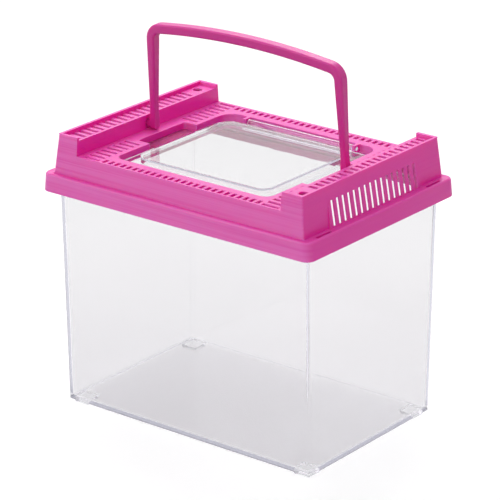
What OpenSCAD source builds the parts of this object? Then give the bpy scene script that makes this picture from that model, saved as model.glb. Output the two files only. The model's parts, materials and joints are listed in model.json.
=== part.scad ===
// Plastic pet keeper: a clear moulded tank with a coloured clip-over lid, a clear
// hatch hinged in the lid and a swinging carrying handle.
// Millimetres, +Z up, origin on the table under the centre of the tank.
// X runs along the length, Y runs from the front (-Y) to the back (+Y).

/* [Tank] */
// Length of the tank over its floor
tank_l = 166.4; // [150:0.2:190]
// Width of the tank over its floor
tank_w = 109; // [96:0.5:130]
// Height of the tank from the table to its rim
tank_h = 134.7; // [100:0.1:180]
// How far each end wall leans out by the rim
flare_end = 0.9; // [0.2:0.1:3]
// How far each long wall leans out by the rim
flare_side = 2.8; // [0.2:0.1:4]
// Thickness of the tank walls
tank_wall = 1.8; // [1.2:0.1:3]
// Thickness of the tank floor
tank_floor = 2; // [1.2:0.1:4]
// How far the rim stands out past the end walls
rim_end = 2.5; // [1.5:0.1:4]
// How far the rim stands out past the long walls
rim_side = 4.8; // [3:0.1:7]
// Thickness of the rim
rim_t = 2; // [1.2:0.1:3]
// Height of the feet
foot_h = 2.2; // [1:0.1:4]
// Side of each foot
foot_size = 11; // [6:0.5:16]
// How far each foot is set in from the corner
foot_inset = 1.6; // [1:0.1:5]

/* [Lid] */
// Thickness of the lid walls
lid_wall = 1.8; // [1.4:0.1:2.4]
// Thickness of the deck and of the trough floors
deck_t = 1.3; // [1:0.1:1.8]
// Gap between the tank rim and the lid skirt
skirt_gap = 1.6; // [0.8:0.1:3]
// Height of the skirt
skirt_h = 10.4; // [8:0.2:16]
// How far the skirt leans in towards its top
skirt_draft = 0.6; // [0:0.1:0.9]
// Radius of the skirt corners
skirt_r = 5; // [3:0.5:8]
// Width of the shelf at each end
shelf_end = 6.4; // [5:0.1:8]
// Width of the shelf along the front and back
shelf_side = 3.5; // [2.5:0.1:4.5]
// Height of the deck above the shelf
deck_h = 12; // [10:0.5:20]
// Height of the end towers above the shelf
tower_h = 22.1; // [20:0.1:32]
// Width of each end tower at its top
tower_w = 13.2; // [12:0.1:16]
// How far the end walls lean in from shelf to tower top
draft_end = 2.2; // [0.5:0.1:3]
// How far the front and back walls lean in from shelf to tower top
draft_side = 2.1; // [0.5:0.1:3]
// Depth of the trough in each tower
trough_d = 2.1; // [1:0.1:3]
// Thickness of the raised rim round each trough
trough_rim = 1.7; // [1.2:0.1:2.4]

/* [Window] */
// Length of the window in the deck
win_l = 102.6; // [80:0.2:108]
// Width of the window, front to back
win_w = 98; // [84:0.5:100]
// Radius of the front window corners
win_r_front = 5; // [3:0.5:8]
// Radius of the back window corners
win_r_back = 9; // [4:0.5:12]
// Thickness of the lip round the window
lip_t = 1.6; // [1.2:0.1:2]
// Depth of the lip below the deck
lip_h = 6.8; // [6:0.2:9]
// Length of each finger notch, front to back
notch_w = 40; // [30:0.5:44]
// How far each finger notch reaches out
notch_d = 8.4; // [6:0.2:9]
// Depth of the notch ledge below the deck
ledge_drop = 4.5; // [4:0.1:5]

/* [Vents] */
// Spacing of the short slots along the front and back
vent_pitch = 4.1; // [3.6:0.1:6]
// Width of the deck slots
vent_w = 2.5; // [1:0.1:2.6]
// Length of the front and back slots
vent_l = 5; // [3:0.1:5.4]
// Spacing of the cross slots beside the window
side_pitch = 4.7; // [4:0.1:7]
// Spacing of the slots in the tower troughs
trough_pitch = 5; // [4:0.1:8]
// Width of the trough slots
trough_slot_w = 2.8; // [1:0.1:2.8]
// Diameter of the round hole at one end of each trough
hole_d = 5.4; // [3:0.1:6]
// Spacing of the upright slots in the end walls
louvre_pitch = 4.8; // [4:0.1:7]
// Width of the upright slots
louvre_w = 2.5; // [0.8:0.1:2.6]
// Height of the upright slots
louvre_h = 13.8; // [8:0.2:15]
// Thickness of the slotted panel, thinned from the inside
panel_t = 1; // [0.8:0.1:1.4]
// How far the slotted panel stands proud at its foot
panel_proud = 1.2; // [0.5:0.1:2]
// How far the slotted panel ends short of each corner
panel_inset = 22.5; // [18:0.5:30]

/* [Hatch] */
// Thickness of the hatch
hatch_t = 1.4; // [1:0.1:1.8]
// Gap between the hatch and the window
hatch_gap = 0.8; // [0.5:0.1:1.2]
// Width of the flat border round the raised pane
border = 6.8; // [5:0.1:9]
// Radius of the pane corners
pane_r = 7; // [4:0.5:12]
// Gap between each tab and its notch, front and back
tab_gap = 2.4; // [1:0.1:6]
// Diameter of the hinge barrel
barrel_d = 3.4; // [3:0.1:3.8]
// Half of the distance between the hinge ribs
rib_x = 36.2; // [26:0.2:40]
// Thickness of each hinge rib
rib_t = 2; // [1.5:0.1:3]
// Diameter of the hatch hinge pins
hatch_pin_d = 2.2; // [1.6:0.1:2.4]

/* [Handle] */
// Height of the handle from its pivots to its top
handle_h = 63.2; // [56:0.1:80]
// Thickness of the handle legs at the top
leg_top = 5.3; // [4:0.1:6]
// Thickness of the handle legs at the foot
leg_foot = 3.6; // [3:0.1:4]
// How far each leg leans in from its foot to its top
leg_lean = 1.1; // [0:0.1:3]
// Angle by which the resting handle leans to the front
handle_lean = 3.2; // [0:0.1:6]
// Depth of the grip, front to back
grip_w = 6; // [4:0.1:6.4]
// Depth of the legs at the foot, front to back
foot_w = 3.8; // [3:0.1:4.4]
// Height of the grip bar
grip_t = 5.5; // [4:0.1:6]
// Radius of the arched grip
grip_r = 430; // [200:5:800]
// Outer radius of the handle corners
handle_corner = 9.5; // [7:0.5:14]
// Gap between each leg and its tower
leg_gap = 1.7; // [0.6:0.1:2.4]
// Diameter of the handle pivot pins
pin_d = 4.2; // [3:0.1:4.4]

/* [Fits] */
// Radial clearance of the pins in their holes
pin_fit = 0.08; // [0.03:0.01:0.1]
// Gap between the skirt pads and the rim
pad_gap = 0.2; // [0.1:0.05:0.5]

/* [Hidden] */
$fn = 64;
hull_fn = 32;
// An overlap that joins solids, a reach past a face that is cut, and the thickness
// of the plates that a hull is drawn over
join = 0.5;
past = 1;
skin = 0.01;

// Tank at its rim
rim_l = tank_l + 2 * (flare_end + rim_end);
rim_w = tank_w + 2 * (flare_side + rim_side);
rim_r = 3;
foot_taper = 0.8;
function tank_x(z) = tank_l / 2 + flare_end * (z - foot_h) / (tank_h - foot_h);
function tank_y(z) = tank_w / 2 + flare_side * (z - foot_h) / (tank_h - foot_h);

// Lid heights
shelf_z = tank_h + lid_wall;
skirt_z = shelf_z - skirt_h;
deck_z = shelf_z + deck_h;
tower_z = shelf_z + tower_h;
trough_z = tower_z - trough_d;

// Skirt, measured at its bottom edge
skirt_l = rim_l + 2 * (skirt_gap + lid_wall);
skirt_w = rim_w + 2 * (skirt_gap + lid_wall);
skirt_edge = 0.8;

// Raised walls at the shelf, and how far they lean in at height z
foot_x = skirt_l / 2 - shelf_end;
foot_y = skirt_w / 2 - shelf_side;
function lean(z) = (z - shelf_z) / tower_h;
function end_x(z) = foot_x - draft_end * lean(z);
function side_y(z) = foot_y - draft_side * lean(z);
tower_x = end_x(tower_z) - tower_w;

// Window and notches
notch_x = win_l / 2 + notch_d;
notch_r = 2;
ledge_z = deck_z - ledge_drop;
ledge_t = 1.6;

// Slot patterns: how many fit, and where the middle of slot i lies. The lands are
// the strips of plastic left between a row of slots and what is next to it
function fit(length, pitch) = floor(length / pitch + 0.001) + 1;
function place(i, n, pitch) = (i - (n - 1) / 2) * pitch;
slot_land = 1.6;
vent_n = fit(win_l, vent_pitch);
vent_end = side_y(deck_z) - lid_wall;
side_land = 3;
side_slot_0 = win_l / 2 + lip_t + slot_land;
side_slot_1 = tower_x - side_land;
side_last = vent_end - vent_w / 2;
side_n = fit(side_last - notch_w / 2 - vent_w, side_pitch);
trough_land = 2.4;
trough_y = side_y(tower_z) - trough_rim;
trough_x0 = tower_x + trough_land;
trough_x1 = end_x(tower_z) - trough_rim;
hole_land = 2;
hole_inset = 5.2;
hole_x = (trough_x0 + trough_x1) / 2;
hole_y = trough_y - hole_d / 2 - hole_inset;
trough_first = -trough_y + trough_slot_w / 2 + slot_land;
trough_last = hole_y - hole_d / 2 - hole_land - trough_slot_w / 2;
trough_n = fit(trough_last - trough_first, trough_pitch);
louvre_rise = 0.3;
louvre_z = shelf_z + louvre_rise;
panel_half = side_y(shelf_z) - panel_inset;
panel_lip = 0.8;
panel_top = louvre_z + louvre_h + panel_lip;
panel_margin = 3.25;
louvre_n = fit(2 * (panel_half - panel_margin), louvre_pitch);

// Mould windows in the shelf over the pads that centre the lid on the rim
pad_l = 12.5;
pad_step = 2.6;
pad_y = panel_half + pad_step + pad_l / 2;
pad_h = 5;
pad_x = rim_l / 2 + pad_gap;
pad_land = 2;
slot_x0 = foot_x + pad_land;
slot_x1 = skirt_l / 2 - lid_wall - skirt_draft;

// Hatch
plate_l = win_l - 2 * hatch_gap;
plate_front = -win_w / 2 + hatch_gap;
hinge_inset = 2.6;
hinge_rise = 0.6;
hinge_neck = 1.2;
hinge_y = win_w / 2 - hinge_inset;
hinge_z = ledge_z + barrel_d / 2 + hinge_rise;
plate_back = hinge_y - barrel_d / 2 - hinge_neck;
back_border = 5.6;
pane_l = plate_l - 2 * border;
pane_front = plate_front + border;
pane_back = plate_back - back_border;
tab_end_gap = 1;
tab_x = notch_x - tab_end_gap;
tab_w = notch_w - 2 * tab_gap;
rib_gap = 0.7;
rib_wall = 1;
pin_end_gap = 0.3;
barrel_l = 2 * (rib_x - rib_gap);
hatch_pin_l = rib_gap + rib_t - pin_end_gap;

// Handle
foot_gap = 0.2;
foot_drop = 2.9;
pivot_z = deck_z + foot_gap + foot_drop;
leg_x = tower_x - leg_gap;
handle_z = pivot_z + handle_h;
pin_reach = 3.8;
bore_l = pin_reach + pin_end_gap;
boss_wall = 2.1;
boss_end = 0.9;
boss_d = pin_d + 2 * boss_wall;
boss_l = bore_l + boss_end;
corner_steps = 10;
arch_steps = 12;
keyhole_w = 6.6;
keyhole_h = 6.9;
keyhole_d = 1;

// Rectangle round the origin with round corners, made of true arcs
module round_rect(l, w, r) {
    round_plan(l, -w / 2, w / 2, r, r);
}

// The same from y0 to y1, with one radius in front and one at the back
module round_plan(l, y0, y1, r0, r1) {
    translate([-l / 2 + r0, y0]) square([l - 2 * r0, r0 + join]);
    translate([-l / 2, y0 + r0]) square([l, y1 - y0 - r0 - r1]);
    translate([-l / 2 + r1, y1 - r1 - join]) square([l - 2 * r1, r1 + join]);
    for (side = [-1, 1]) {
        translate([side * (l / 2 - r0), y0 + r0]) circle(r0);
        translate([side * (l / 2 - r1), y1 - r1]) circle(r1);
    }
}

// A thin level plate with round corners, for the levels of the skirt
module slice(l, w, r, z) {
    translate([0, 0, z])
        linear_extrude(skin)
            offset(r = r, $fn = hull_fn) square([l - 2 * r, w - 2 * r], center = true);
}

// Profile in X and Z run through the whole depth, and in Y and Z through the length
module along_y(half) {
    rotate([90, 0, 0]) linear_extrude(2 * half, center = true) children();
}
module along_x(half) {
    rotate([90, 0, 90]) linear_extrude(2 * half, center = true) children();
}

// Block with four flat sides that lean evenly from z0 to z1
module leaning_block(l0, w0, z0, l1, w1, z1) {
    intersection() {
        along_y(max(w0, w1)) polygon([[-l0 / 2, z0], [l0 / 2, z0], [l1 / 2, z1], [-l1 / 2, z1]]);
        along_x(max(l0, l1)) polygon([[-w0 / 2, z0], [w0 / 2, z0], [w1 / 2, z1], [-w1 / 2, z1]]);
    }
}

// Both ends, or all four corners, from one
module both_ends() {
    children();
    rotate([0, 0, 180]) children();
}
module left_and_right() {
    children();
    mirror([1, 0, 0]) children();
}
module four_corners() {
    left_and_right() {
        children();
        mirror([0, 1, 0]) children();
    }
}

// Clear box with drafted walls, a stepped rim and four corner feet
module tank() {
    color([0.9, 0.93, 0.95, 0.4]) {
        difference() {
            union() {
                tank_block(foot_h, tank_h, 0);
                translate([0, 0, tank_h - rim_t]) linear_extrude(rim_t) round_rect(rim_l, rim_w, rim_r);
            }
            tank_block(foot_h + tank_floor, tank_h + past, tank_wall);
        }
        four_corners() tank_foot();
    }
}

// The leaning shape of the tank between two levels, set in by a wall
module tank_block(z0, z1, inset) {
    leaning_block(2 * (tank_x(z0) - inset), 2 * (tank_y(z0) - inset), z0,
        2 * (tank_x(z1) - inset), 2 * (tank_y(z1) - inset), z1);
}

// Low pad that tapers to the table
module tank_foot() {
    low = foot_size - 2 * foot_taper;
    centre = foot_inset + foot_size / 2;
    translate([tank_l / 2 - centre, tank_w / 2 - centre, 0])
        leaning_block(low, low, 0, foot_size, foot_size, foot_h + join);
}

// Outside of the skirt, with a small bevel round the shelf
module skirt_outside() {
    hull() {
        slice(skirt_l, skirt_w, skirt_r, skirt_z);
        slice(skirt_l - 2 * skirt_draft, skirt_w - 2 * skirt_draft, skirt_r, shelf_z - skirt_edge);
        slice(skirt_l - 2 * (skirt_draft + skirt_edge), skirt_w - 2 * (skirt_draft + skirt_edge),
            skirt_r - skirt_edge, shelf_z - skin);
    }
}

// Hollow of the skirt, up to the underside of the shelf that rests on the rim
module skirt_hollow() {
    low = 2 * lid_wall;
    high = 2 * (lid_wall + skirt_draft);
    inner_r = skirt_r - lid_wall;
    hull() {
        slice(skirt_l - low, skirt_w - low, inner_r, skirt_z - past);
        slice(skirt_l - low, skirt_w - low, inner_r, skirt_z);
        slice(skirt_l - high, skirt_w - high, inner_r, tank_h - skin);
    }
}

// Raised middle of the lid: deck and two end towers, drafted on all sides
module raised_outside() {
    intersection() {
        along_y(skirt_w) polygon([
            [-foot_x, tank_h], [-foot_x, shelf_z], [-end_x(tower_z), tower_z], [-tower_x, tower_z],
            [-tower_x, deck_z], [tower_x, deck_z],
            [tower_x, tower_z], [end_x(tower_z), tower_z], [foot_x, shelf_z], [foot_x, tank_h]]);
        along_x(skirt_l) polygon([
            [-foot_y, tank_h], [-foot_y, shelf_z], [-side_y(tower_z), tower_z],
            [side_y(tower_z), tower_z], [foot_y, shelf_z], [foot_y, tank_h]]);
    }
}

// Hollow under the deck and inside the towers
module raised_hollow() {
    top = trough_z - deck_t;
    under = deck_z - deck_t;
    inner_x = tower_x + lid_wall;
    intersection() {
        along_y(skirt_w) polygon([
            [lid_wall - foot_x, tank_h - past], [lid_wall - foot_x, shelf_z], [lid_wall - end_x(top), top],
            [-inner_x, top], [-inner_x, under], [inner_x, under],
            [inner_x, top], [end_x(top) - lid_wall, top],
            [foot_x - lid_wall, shelf_z], [foot_x - lid_wall, tank_h - past]]);
        along_x(skirt_l) polygon([
            [lid_wall - foot_y, tank_h - past], [lid_wall - foot_y, shelf_z],
            [lid_wall - side_y(top), top], [side_y(top) - lid_wall, top],
            [foot_y - lid_wall, shelf_z], [foot_y - lid_wall, tank_h - past]]);
    }
}

// Plan of the window with its two finger notches, grown by a margin
module window_plan(grow) {
    round_plan(win_l + 2 * grow, -win_w / 2 - grow, win_w / 2 + grow,
        win_r_front + grow, win_r_back + grow);
    round_rect(2 * (notch_x + grow), notch_w + 2 * grow, notch_r + grow);
}

// Lip that hangs down round the window, and the ledges in the notches
module window_lip() {
    translate([0, 0, deck_z - lip_h]) linear_extrude(lip_h) difference() {
        window_plan(lip_t);
        window_plan(0);
    }
    left_and_right()
        translate([win_l / 2, -notch_w / 2 - join, ledge_z - ledge_t])
            cube([notch_d + join, notch_w + 2 * join, ledge_t]);
}

// Rib on the back of the window that carries one hatch pin
module hinge_rib() {
    reach = hatch_pin_d / 2 + rib_wall;
    difference() {
        translate([rib_x, hinge_y - reach, hinge_z - reach])
            cube([rib_t, hinge_inset + reach + join, deck_z - hinge_z + reach]);
        translate([rib_x - past, hinge_y, hinge_z])
            rotate([0, 90, 0]) cylinder(d = hatch_pin_d + 2 * pin_fit, h = rib_t + 2 * past);
    }
}

// Boss inside a tower that carries one handle pin
module pivot_boss() {
    translate([tower_x, 0, pivot_z]) rotate([0, 90, 0]) cylinder(d = boss_d, h = boss_l);
}

// Pad inside the skirt, under its mould window
module skirt_pad() {
    translate([pad_x, pad_y - pad_l / 2, tank_h - rim_t - pad_h / 2])
        cube([skirt_l / 2 - lid_wall / 2 - skirt_draft - pad_x, pad_l, pad_h]);
}

// Slotted panel that stands a little proud of the end wall
module louvre_panel() {
    along_y(panel_half) polygon([
        [foot_x - join, shelf_z - join], [foot_x + panel_proud, shelf_z - join],
        [foot_x + panel_proud, shelf_z], [end_x(panel_top), panel_top],
        [end_x(panel_top) - join, panel_top]]);
}

// Pocket behind the slots that thins the panel
module louvre_pocket() {
    along_y(louvre_n * louvre_pitch / 2) polygon([
        [foot_x - lid_wall - past, tank_h - past], [foot_x + panel_proud - panel_t, tank_h - past],
        [foot_x + panel_proud - panel_t, shelf_z], [end_x(panel_top) - panel_t, panel_top],
        [end_x(panel_top) - lid_wall - past, panel_top]]);
}

// Short slots along the front of the deck
module front_vents() {
    for (i = [0 : vent_n - 1])
        translate([place(i, vent_n, vent_pitch) - vent_w / 2, -vent_end, deck_z - deck_t - past])
            cube([vent_w, vent_l, deck_t + 2 * past]);
}

// Cross slots beside the window, in front of one notch
module side_vents() {
    for (i = [0 : side_n - 1])
        translate([side_slot_0, side_last - i * side_pitch - vent_w / 2, deck_z - deck_t - past])
            cube([side_slot_1 - side_slot_0, vent_w, deck_t + 2 * past]);
}

// Trough in one tower, open towards the handle, with its slots and round hole
module trough_cut() {
    translate([tower_x - past, -trough_y, trough_z])
        cube([trough_x1 - tower_x + past, 2 * trough_y, trough_d + past]);
    for (i = [0 : trough_n - 1])
        translate([trough_x0, -trough_first - i * trough_pitch - trough_slot_w / 2, trough_z - deck_t - past])
            cube([trough_x1 - trough_x0, trough_slot_w, deck_t + 2 * past]);
    translate([hole_x, -hole_y, trough_z - deck_t - past]) cylinder(d = hole_d, h = deck_t + 2 * past);
}

// Upright slots through the end wall and its panel
module louvres() {
    for (i = [0 : louvre_n - 1])
        translate([tower_x + boss_l + past, place(i, louvre_n, louvre_pitch) - louvre_w / 2, louvre_z])
            cube([foot_x + panel_proud + past - tower_x - boss_l, louvre_w, louvre_h]);
}

// Mould window in the shelf
module shelf_slot() {
    translate([slot_x0, pad_y - pad_l / 2, tank_h - past])
        cube([slot_x1 - slot_x0, pad_l, lid_wall + 2 * past]);
}

// Recess in the tower wall round the pivot, and the bore for the pin
module pivot_cut() {
    translate([tower_x - join, -keyhole_w / 2, deck_z]) cube([keyhole_d + join, keyhole_w, keyhole_h]);
    translate([tower_x - join, 0, pivot_z])
        rotate([0, 90, 0]) cylinder(d = pin_d + 2 * pin_fit, h = bore_l + join);
}

// Coloured lid that rests on the rim and carries the hatch and the handle
module lid() {
    color([0.83, 0.27, 0.62])
        difference() {
            union() {
                difference() {
                    union() {
                        skirt_outside();
                        raised_outside();
                        both_ends() louvre_panel();
                    }
                    skirt_hollow();
                    raised_hollow();
                    both_ends() louvre_pocket();
                    translate([0, 0, deck_z - lip_h]) linear_extrude(lip_h + past) window_plan(0);
                }
                window_lip();
                left_and_right() {
                    hinge_rib();
                    pivot_boss();
                }
                four_corners() skirt_pad();
            }
            left_and_right() pivot_cut();
            both_ends() {
                front_vents();
                trough_cut();
                louvres();
            }
            four_corners() {
                side_vents();
                shelf_slot();
            }
        }
}

// Clear panel with a raised pane, a tab in each notch and pins along its back
module hatch() {
    pane_z = ledge_z + hatch_t;
    color([0.94, 0.95, 0.97, 0.4]) {
        difference() {
            union() {
                translate([0, 0, ledge_z]) linear_extrude(hatch_t) {
                    round_plan(plate_l, plate_front, plate_back,
                        win_r_front - hatch_gap, win_r_back - hatch_gap);
                    round_rect(2 * tab_x, tab_w, notch_r);
                }
                translate([0, 0, ledge_z]) linear_extrude(deck_z - ledge_z)
                    round_plan(pane_l, pane_front, pane_back, pane_r, pane_r);
            }
            translate([0, 0, ledge_z - past]) linear_extrude(deck_z - hatch_t - ledge_z + past)
                round_plan(pane_l - 2 * hatch_t, pane_front + hatch_t, pane_back - hatch_t,
                    pane_r - hatch_t, pane_r - hatch_t);
        }
        translate([-barrel_l / 2, plate_back - join, ledge_z])
            cube([barrel_l, hinge_y - plate_back + join, hatch_t]);
        translate([-barrel_l / 2, hinge_y, hinge_z]) rotate([0, 90, 0]) cylinder(d = barrel_d, h = barrel_l);
        left_and_right()
            translate([barrel_l / 2 - join, hinge_y, hinge_z])
                rotate([0, 90, 0]) cylinder(d = hatch_pin_d, h = hatch_pin_l + join);
    }
}

// Points of an arc, for the outline of the handle
function arc(cx, cz, r, a0, a1, n) =
    [for (i = [0 : n]) [cx + r * cos(a0 + (a1 - a0) * i / n), cz + r * sin(a0 + (a1 - a0) * i / n)]];

// Right half of a bail outline, from the foot up over the corner to the middle:
// the corner arc is tangent to the upright and to the arched top
function half_bail(foot, top, crown, arch, corner) =
    let (cx = top - corner,
        rise = sqrt(pow(arch - corner, 2) - pow(cx, 2)),
        cz = crown - arch + rise,
        turn = atan2(rise, cx))
    concat([[foot, pivot_z - foot_drop - past]],
        arc(cx, cz, corner, 0, turn, corner_steps),
        arc(0, crown - arch, arch, turn, 90, arch_steps));

function flipped(points) = [for (i = [len(points) - 1 : -1 : 0]) [-points[i][0], points[i][1]]];

// The handle where it comes to rest, leaning a little to the front
module handle() {
    translate([0, 0, pivot_z]) rotate([handle_lean, 0, 0]) translate([0, 0, -pivot_z]) bail();
}

// U-shaped bail: arched grip, tapered legs and a pin at each foot
module bail() {
    top_x = leg_x - leg_lean;
    outer = half_bail(leg_x, top_x, handle_z, grip_r, handle_corner);
    inner = half_bail(leg_x - leg_foot, top_x - leg_top, handle_z - grip_t,
        grip_r - grip_t, handle_corner - grip_t);
    outside = concat(outer, flipped(outer));
    inside = concat(inner, flipped(inner));
    shoulder_z = handle_z - handle_corner - grip_t;
    foot_z = pivot_z - foot_drop + foot_w / 2;
    color([0.83, 0.27, 0.62]) {
        intersection() {
            along_y(grip_w) difference() {
                polygon(outside);
                polygon(inside);
            }
            along_x(skirt_l / 2) {
                polygon([
                    [-foot_w / 2, foot_z], [foot_w / 2, foot_z],
                    [grip_w / 2, shoulder_z], [grip_w / 2, handle_z + past],
                    [-grip_w / 2, handle_z + past], [-grip_w / 2, shoulder_z]]);
                translate([0, foot_z]) circle(d = foot_w);
            }
        }
        left_and_right()
            translate([leg_x - join, 0, pivot_z])
                rotate([0, 90, 0]) cylinder(d = pin_d, h = join + leg_gap + pin_reach);
    }
}

tank();
lid();
hatch();
handle();
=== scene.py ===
import json
from math import radians

import bmesh
import bpy
from mathutils import Matrix, Vector

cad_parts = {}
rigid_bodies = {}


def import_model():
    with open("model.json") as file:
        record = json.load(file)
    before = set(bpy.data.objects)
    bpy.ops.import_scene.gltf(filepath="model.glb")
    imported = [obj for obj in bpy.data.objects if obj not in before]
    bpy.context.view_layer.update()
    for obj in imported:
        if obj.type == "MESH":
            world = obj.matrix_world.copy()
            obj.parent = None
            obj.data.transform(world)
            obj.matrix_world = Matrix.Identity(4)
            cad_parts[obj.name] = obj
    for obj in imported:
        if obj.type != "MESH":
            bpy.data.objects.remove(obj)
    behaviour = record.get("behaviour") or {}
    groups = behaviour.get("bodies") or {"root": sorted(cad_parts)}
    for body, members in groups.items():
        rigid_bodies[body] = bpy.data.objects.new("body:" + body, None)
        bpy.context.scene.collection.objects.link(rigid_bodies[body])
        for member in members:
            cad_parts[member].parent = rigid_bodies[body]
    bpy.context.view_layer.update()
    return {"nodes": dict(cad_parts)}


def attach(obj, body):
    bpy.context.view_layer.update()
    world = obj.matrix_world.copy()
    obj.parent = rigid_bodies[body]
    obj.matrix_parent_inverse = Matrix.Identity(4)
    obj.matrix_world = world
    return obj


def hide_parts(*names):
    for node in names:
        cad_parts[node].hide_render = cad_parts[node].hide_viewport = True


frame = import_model()
scene = bpy.context.scene
scene.view_settings.view_transform = "Standard"


# --- Camera ------------------------------------------------------------------------
# A long lens looks down on the front right corner of the keeper from a metre and a
# half away, so that its uprights stay nearly parallel.

VIEW_AZIMUTH = radians(37.98)
VIEW_ELEVATION = radians(20.92)
VIEW_DISTANCE = 1.5597
VIEW_TARGET = Vector((0.0014, 0, 0.0934))
LENS_MM = 207.98
SENSOR_MM = 36


def aimed_from(azimuth, elevation, distance, target):
    turn = Matrix.Rotation(azimuth, 4, "Z") @ Matrix.Rotation(radians(90) - elevation, 4, "X")
    return Matrix.Translation(target) @ turn @ Matrix.Translation((0, 0, distance))


bpy.ops.object.camera_add()
camera = bpy.context.object
camera.matrix_world = aimed_from(VIEW_AZIMUTH, VIEW_ELEVATION, VIEW_DISTANCE, VIEW_TARGET)
camera.data.lens = LENS_MM
camera.data.sensor_width = SENSOR_MM
camera.data.clip_start = 0.05
scene.camera = camera


# --- Studio ------------------------------------------------------------------------
# A white sweep under soft light: a wide lamp high behind the keeper, weaker ones in
# front and at the right, and a pale surround that fills the rest. Only the near part of
# the sweep throws light back up, as a table top does.

FLOOR_SIZE = 30
FLOOR_WHITE = 0.74
FLOOR_GLOW = 0.38
FAR_WHITE = 0.2
FAR_GLOW = 0.85
TABLE_RADIUS = 0.3
TABLE_FADE = 0.3
SURROUND_FILL = 0.52
LAMP_SIZE = 1.2


def add_node(tree, kind, sockets=None, **settings):
    made = tree.nodes.new(kind)
    for name, value in settings.items():
        setattr(made, name, value)
    for name, value in (sockets or {}).items():
        made.inputs[name].default_value = value
    return made


def new_material(name):
    material = bpy.data.materials.new(name)
    material.use_nodes = True
    material.node_tree.nodes.clear()
    return material, material.node_tree


def spread(tree, value, low, high, to_low, to_high):
    stretch = add_node(tree, "ShaderNodeMapRange",
                       {"From Min": low, "From Max": high, "To Min": to_low, "To Max": to_high})
    tree.links.new(value, stretch.inputs["Value"])
    return stretch.outputs["Result"]


def seen_by_eye(tree):
    """1 for rays that show the surround: from the camera, off gloss or through clear plastic."""
    path = add_node(tree, "ShaderNodeLightPath")
    shown = path.outputs["Is Camera Ray"]
    for other in ("Is Glossy Ray", "Is Transmission Ray"):
        either = add_node(tree, "ShaderNodeMath", operation="MAXIMUM")
        tree.links.new(shown, either.inputs[0])
        tree.links.new(path.outputs[other], either.inputs[1])
        shown = either.outputs[0]
    return shown


world = bpy.data.worlds.new("surround")
scene.world = world
world.use_nodes = True
tree = world.node_tree
tree.nodes.clear()
surround = add_node(tree, "ShaderNodeBackground", {"Color": (1, 1, 1, 1)})
tree.links.new(spread(tree, seen_by_eye(tree), 0, 1, SURROUND_FILL, 1),
               surround.inputs["Strength"])
tree.links.new(surround.outputs[0], add_node(tree, "ShaderNodeOutputWorld").inputs[0])

bpy.ops.mesh.primitive_plane_add(size=FLOOR_SIZE)
floor = bpy.context.object
floor.name = "studio_floor"
white_paper, tree = new_material("white_paper")
away = add_node(tree, "ShaderNodeVectorMath", operation="LENGTH")
tree.links.new(add_node(tree, "ShaderNodeTexCoord").outputs["Object"], away.inputs[0])
matte = add_node(tree, "ShaderNodeBsdfDiffuse")
tree.links.new(spread(tree, away.outputs["Value"], TABLE_RADIUS, TABLE_RADIUS + TABLE_FADE,
                      FLOOR_WHITE, FAR_WHITE), matte.inputs["Color"])
glow = add_node(tree, "ShaderNodeEmission", {"Color": (1, 1, 1, 1)})
glow_strength = add_node(tree, "ShaderNodeMath", operation="MULTIPLY")
tree.links.new(seen_by_eye(tree), glow_strength.inputs[0])
tree.links.new(spread(tree, away.outputs["Value"], TABLE_RADIUS, TABLE_RADIUS + TABLE_FADE,
                      FLOOR_GLOW, FAR_GLOW), glow_strength.inputs[1])
tree.links.new(glow_strength.outputs[0], glow.inputs["Strength"])
both = add_node(tree, "ShaderNodeAddShader")
tree.links.new(matte.outputs[0], both.inputs[0])
tree.links.new(glow.outputs[0], both.inputs[1])
tree.links.new(both.outputs[0], add_node(tree, "ShaderNodeOutputMaterial").inputs[0])
floor.data.materials.append(white_paper)


def soft_lamp(name, azimuth, elevation, distance, watts):
    bpy.ops.object.light_add(type="AREA")
    lamp = bpy.context.object
    lamp.name = name
    lamp.data.shape = "DISK"
    lamp.data.size = LAMP_SIZE
    lamp.data.energy = watts
    lamp.matrix_world = aimed_from(radians(azimuth), radians(elevation), distance, VIEW_TARGET)


soft_lamp("back_lamp", azimuth=222, elevation=52, distance=1.5, watts=13.5)
soft_lamp("front_lamp", azimuth=-35, elevation=28, distance=1.8, watts=7)
soft_lamp("side_lamp", azimuth=62, elevation=32, distance=1.8, watts=4)


# --- Tank --------------------------------------------------------------------------
# Box moulded in one piece of nearly colourless plastic, with rounded corners, a stepped
# rim and four low feet. Its gloss is scuffed all over, painted shade darkens it toward its
# floor, and rays caught in a wall give a painted blue grey glow at the edges. It stands on the
# table and carries the lid.

CLEAR = (0.884, 0.880, 0.886, 1)
SHADED_CLEAR = (0.852, 0.846, 0.857, 1)
SHADE_RISE = 0.085
SCUFFS_PER_M = (300, 300, 300)
SCUFF_BAND = (0.55, 0.8)
CLEAR_ROUGHNESS = (0.01, 0.05)
RIPPLES_PER_M = (60, 60, 25)
RIPPLE_DEPTH = 0.0002
RIPPLE_STRENGTH = 0.3
PLASTIC_BEND = 1.49
DEPTH_TINT = (0.02, 0.02, 0.12, 1)
DEPTH_DENSITY = 17
LAMP_TINT = (0.93, 0.93, 0.935, 1)
PAINTED_GLOW_COLOUR = (0.935, 0.93, 1, 1)
PAINTED_GLOW_STRENGTH = 0.57
CAUGHT_AFTER = 3
TANK_EDGE = 0.0005
TANK_CORNER = 0.0024
TANK_INSIDE = 0.0012
FLOOR_TOP = 0.0042
RIM_BOTTOM = 0.13
WALL_RISE = 0.1
WELD = 1e-6
FLAT = radians(0.5)
SHARP = radians(35)


def scaled_noise(tree, coordinates, scale, detail):
    mapping = add_node(tree, "ShaderNodeMapping", {"Scale": scale})
    noise = add_node(tree, "ShaderNodeTexNoise", {"Scale": 1, "Detail": detail})
    tree.links.new(coordinates, mapping.inputs["Vector"])
    tree.links.new(mapping.outputs[0], noise.inputs["Vector"])
    return noise.outputs["Fac"]


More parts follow.
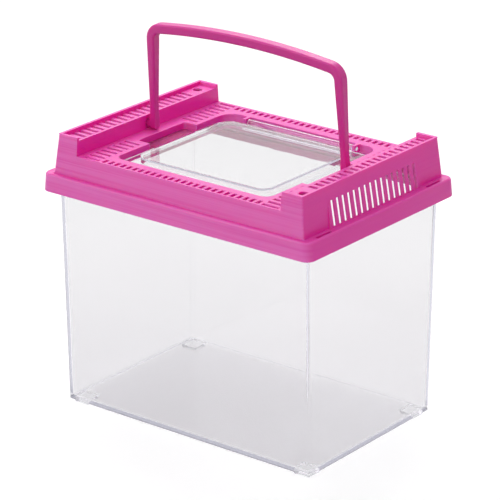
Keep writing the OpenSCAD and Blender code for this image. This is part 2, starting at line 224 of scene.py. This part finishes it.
clear_plastic, tree = new_material("clear_plastic")
place = add_node(tree, "ShaderNodeTexCoord").outputs["Object"]
path = add_node(tree, "ShaderNodeLightPath")
ripple = add_node(tree, "ShaderNodeBump",
                  {"Strength": RIPPLE_STRENGTH, "Distance": RIPPLE_DEPTH})
tree.links.new(scaled_noise(tree, place, RIPPLES_PER_M, detail=1), ripple.inputs["Height"])
clear = add_node(tree, "ShaderNodeBsdfPrincipled", {
    "Transmission Weight": 1, "IOR": PLASTIC_BEND, "Emission Color": PAINTED_GLOW_COLOUR})
height = add_node(tree, "ShaderNodeSeparateXYZ")
tree.links.new(place, height.inputs[0])
# Painted shade: the walls get a darker, duller base colour that fades in from partway up down to
# the floor of the tank.
painted_shade = add_node(tree, "ShaderNodeMix", data_type="RGBA")
tree.links.new(spread(tree, height.outputs["Z"], 0, SHADE_RISE, 0, 1), painted_shade.inputs["Factor"])
painted_shade.inputs["A"].default_value = SHADED_CLEAR
painted_shade.inputs["B"].default_value = CLEAR
tree.links.new(painted_shade.outputs["Result"], clear.inputs["Base Color"])
scuffs_and_sheen = scaled_noise(tree, place, SCUFFS_PER_M, detail=4)
tree.links.new(spread(tree, scuffs_and_sheen, *SCUFF_BAND, *CLEAR_ROUGHNESS), clear.inputs["Roughness"])
tree.links.new(ripple.outputs[0], clear.inputs["Normal"])
# Painted glow: where a ray has bounced by gloss more than CAUGHT_AFTER times inside the clear
# plastic, the surface emits a pale blue grey light, so the edges show pale instead of black.
caught = add_node(tree, "ShaderNodeMath", {1: CAUGHT_AFTER + 0.5}, operation="GREATER_THAN")
tree.links.new(path.outputs["Glossy Depth"], caught.inputs[0])
painted_glow = add_node(tree, "ShaderNodeMath", {1: PAINTED_GLOW_STRENGTH}, operation="MULTIPLY")
tree.links.new(caught.outputs[0], painted_glow.inputs[0])
tree.links.new(painted_glow.outputs[0], clear.inputs["Emission Strength"])
passing = add_node(tree, "ShaderNodeBsdfTransparent", {"Color": LAMP_TINT})
lamps_pass = add_node(tree, "ShaderNodeMixShader")
tree.links.new(path.outputs["Is Shadow Ray"], lamps_pass.inputs[0])
tree.links.new(clear.outputs[0], lamps_pass.inputs[1])
tree.links.new(passing.outputs[0], lamps_pass.inputs[2])
inside = add_node(tree, "ShaderNodeVolumeAbsorption",
                  {"Color": DEPTH_TINT, "Density": DEPTH_DENSITY})
output = add_node(tree, "ShaderNodeOutputMaterial")
tree.links.new(lamps_pass.outputs[0], output.inputs["Surface"])
tree.links.new(inside.outputs[0], output.inputs["Volume"])


def moulded_copy(node, body, material, weld):
    """A copy of a moulded piece, its loose triangles joined into whole faces."""
    bpy.ops.object.select_all(action="DESELECT")
    original = frame["nodes"][node]
    original.select_set(True)
    bpy.context.view_layer.objects.active = original
    bpy.ops.object.duplicate()
    piece = bpy.context.object
    for note in list(piece.keys()):
        del piece[note]
    piece.name = "moulded_" + node
    piece.data.name = piece.name
    bpy.ops.object.parent_clear(type="CLEAR_KEEP_TRANSFORM")
    bpy.ops.object.mode_set(mode="EDIT")
    bpy.ops.mesh.select_all(action="SELECT")
    bpy.ops.mesh.remove_doubles(threshold=weld)
    bpy.ops.mesh.customdata_custom_splitnormals_clear()
    bpy.ops.mesh.dissolve_limited(angle_limit=FLAT)
    bpy.ops.object.mode_set(mode="OBJECT")
    piece.data.materials.clear()
    piece.data.materials.append(material)
    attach(piece, body)
    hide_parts(node)
    return piece


def round_edges(piece, roundness, segments, limit_overlap):
    """Rounds each edge, outward or inward, by the width in metres that roundness gives it."""
    bpy.ops.object.select_all(action="DESELECT")
    piece.select_set(True)
    bpy.context.view_layer.objects.active = piece
    bpy.ops.object.mode_set(mode="EDIT")
    bpy.ops.mesh.select_all(action="SELECT")
    bpy.ops.mesh.quads_convert_to_tris(quad_method="BEAUTY", ngon_method="BEAUTY")
    bpy.ops.mesh.beautify_fill(angle_limit=FLAT)
    bpy.ops.object.mode_set(mode="OBJECT")
    faces = bmesh.new()
    faces.from_mesh(piece.data)
    widths = {edge.index: roundness(edge) for edge in faces.edges
              if abs(edge.calc_face_angle_signed(0)) > SHARP}
    faces.free()
    widest = max(widths.values())
    share = piece.data.attributes.new("bevel_weight_edge", "FLOAT", "EDGE")
    for index, width in widths.items():
        share.data[index].value = width / widest
    bpy.ops.object.shade_smooth_by_angle(angle=SHARP)
    bevel = piece.modifiers.new("rounded", "BEVEL")
    bevel.width = widest
    bevel.segments = segments
    bevel.limit_method = "WEIGHT"
    bevel.harden_normals = True
    bevel.use_clamp_overlap = limit_overlap
    bpy.ops.object.modifier_apply(modifier=bevel.name)


def is_outward(edge):
    return edge.calc_face_angle_signed(0) > SHARP


def tank_roundness(edge):
    bottom, top = sorted(end.co.z for end in edge.verts)
    upright = top - bottom > WALL_RISE
    if bottom > RIM_BOTTOM:
        return 0
    if is_outward(edge):
        return TANK_CORNER if upright else TANK_EDGE
    round_floor = abs(top - FLOOR_TOP) + abs(bottom - FLOOR_TOP) < TANK_EDGE
    return TANK_INSIDE if upright or round_floor else 0


tank = moulded_copy("tank", "tank_body", clear_plastic, WELD)
round_edges(tank, tank_roundness, segments=3, limit_overlap=False)


# --- Lid ---------------------------------------------------------------------------
# Vented cover moulded in pink plastic. The plastic has a soft gloss and lets a little
# light through, and its sides carry fine level marks from the mould. The lid rests on
# the rim of the tank, and its skirt hangs down round the rim.

PINK = (0.82, 0.014, 0.39, 1)
# Painted sheen: a whiter pink is mixed into faces that look toward the front and back, and a
# little into top faces, streaked by the level marks.
SHEEN_PINK = (0.912, 0.17, 0.568, 1)
SHEEN_FACES = (0, 1, 0.35)
MARK_BAND = (0.3, 0.7)
MARK_SHEEN = (0.55, 1.15)
PINK_ROUGHNESS = (0.3, 0.42)
DRAW_MARKS_PER_M = (9, 9, 800)
DRAW_MARK_DEPTH = 0.00012
GRAIN_PER_M = (2500, 2500, 2500)
GRAIN_DEPTH = 0.0001
GRAIN_STRENGTH = 0.25
GLOW_DEPTH = (0.004, 0.0004, 0.0015)
GLOW_SHARE = 0.5
LID_WELD = 3e-5
RIM_EDGE = 0.0006
CORNER_EDGE = 0.0015
LONG_EDGE = 0.0005
SLOT_EDGE = 0.0003
INSIDE_RIM = Vector((0.0884, 0.0639, 0.1345))
LOUVRE_X = 0.080
LOUVRE_Y = 0.045
LOUVRE_TOP = 0.152
CORNER_RISE = 0.012
LONG = 0.02
UNDERSIDE = -0.3


def pink_material(name, colour, sheen_faces):
    """Pink plastic with level marks. A painted sheen whitens it most on faces that look along
    the given axes, streaked by the marks.
    """
    material, tree = new_material(name)
    place = add_node(tree, "ShaderNodeTexCoord")
    marks = scaled_noise(tree, place.outputs["Object"], DRAW_MARKS_PER_M, detail=2)
    looks = add_node(tree, "ShaderNodeVectorMath", operation="ABSOLUTE")
    tree.links.new(place.outputs["Normal"], looks.inputs[0])
    sheen_facing = add_node(tree, "ShaderNodeVectorMath", {1: sheen_faces}, operation="DOT_PRODUCT")
    tree.links.new(looks.outputs["Vector"], sheen_facing.inputs[0])
    scuffs_and_sheen = add_node(tree, "ShaderNodeMath", operation="MULTIPLY", use_clamp=True)
    tree.links.new(sheen_facing.outputs["Value"], scuffs_and_sheen.inputs[0])
    tree.links.new(spread(tree, marks, *MARK_BAND, *MARK_SHEEN), scuffs_and_sheen.inputs[1])
    shade = add_node(tree, "ShaderNodeMix", data_type="RGBA")
    tree.links.new(scuffs_and_sheen.outputs[0], shade.inputs["Factor"])
    shade.inputs["A"].default_value = colour
    shade.inputs["B"].default_value = SHEEN_PINK
    grooves = add_node(tree, "ShaderNodeBump", {"Strength": 1, "Distance": DRAW_MARK_DEPTH})
    tree.links.new(marks, grooves.inputs["Height"])
    grain = add_node(tree, "ShaderNodeBump",
                     {"Strength": GRAIN_STRENGTH, "Distance": GRAIN_DEPTH})
    tree.links.new(scaled_noise(tree, place.outputs["Object"], GRAIN_PER_M, detail=2),
                   grain.inputs["Height"])
    tree.links.new(grooves.outputs[0], grain.inputs["Normal"])
    pink = add_node(tree, "ShaderNodeBsdfPrincipled", {
        "IOR": PLASTIC_BEND, "Subsurface Weight": GLOW_SHARE,
        "Subsurface Radius": GLOW_DEPTH, "Subsurface Scale": 1})
    tree.links.new(shade.outputs["Result"], pink.inputs["Base Color"])
    tree.links.new(spread(tree, marks, *MARK_BAND, *PINK_ROUGHNESS), pink.inputs["Roughness"])
    tree.links.new(grain.outputs[0], pink.inputs["Normal"])
    tree.links.new(pink.outputs[0], add_node(tree, "ShaderNodeOutputMaterial").inputs[0])
    return material


def lid_roundness(edge):
    if not is_outward(edge):
        return 0
    ends = [end.co for end in edge.verts]
    if all(abs(end.x) > INSIDE_RIM.x or abs(end.y) > INSIDE_RIM.y for end in ends):
        return RIM_EDGE
    below = min(end.z for end in ends) < INSIDE_RIM.z
    if below or min(face.normal.z for face in edge.link_faces) < UNDERSIDE:
        return 0
    if all(abs(end.x) > LOUVRE_X and abs(end.y) < LOUVRE_Y and end.z < LOUVRE_TOP
           for end in ends):
        return 0
    if abs(ends[0].z - ends[1].z) > CORNER_RISE:
        return CORNER_EDGE
    return LONG_EDGE if edge.calc_length() > LONG else SLOT_EDGE


lid = moulded_copy("lid", "lid_body", pink_material("lid_pink", PINK, SHEEN_FACES), LID_WELD)
round_edges(lid, lid_roundness, segments=2, limit_overlap=False)


# --- Hatch -------------------------------------------------------------------------
# Feeding door of the same clear plastic as the tank, with a raised pane and a finger
# tab at each side. Two pins along its back edge turn in ribs on the lid.

HATCH_EDGE = 0.0004

hatch = moulded_copy("hatch", "hatch_body", clear_plastic, WELD)
round_edges(hatch, lambda edge: HATCH_EDGE * is_outward(edge), segments=2, limit_overlap=True)


# --- Handle ------------------------------------------------------------------------
# Bail moulded in the pink plastic of the lid, with a thick rounded section. A pin at
# each foot turns in the tower beside it, so that the handle folds flat either way.

# Painted shade: the handle's pink is a darker copy of the lid's pink, for the raised bail, which
# gets less light from the table than the lid.
SHADED_HANDLE_PINK = (0.68, 0.022, 0.32, 1)
HANDLE_EDGE = 0.0013
ROUNDED_FROM = 0.1555
ROUNDED_OVER = 0.006
TAPER_STEPS = 3
# The handle gets no painted sheen.
NO_SHEEN = (0, 0, 0)


def handle_roundness(edge):
    if not is_outward(edge):
        return 0
    middle = sum(end.co.z for end in edge.verts) / 2
    return HANDLE_EDGE * min(1, max(0, (middle - ROUNDED_FROM) / ROUNDED_OVER))


handle = moulded_copy("handle", "handle_body",
                      pink_material("shaded_handle_pink", SHADED_HANDLE_PINK, NO_SHEEN), WELD)
for step in range(TAPER_STEPS + 1):
    cut_height = ROUNDED_FROM + ROUNDED_OVER * step / TAPER_STEPS
    bpy.ops.object.mode_set(mode="EDIT")
    bpy.ops.mesh.select_all(action="SELECT")
    bpy.ops.mesh.bisect(plane_co=(0, 0, cut_height), plane_no=(0, 0, 1))
    bpy.ops.object.mode_set(mode="OBJECT")
round_edges(handle, handle_roundness, segments=3, limit_overlap=False)
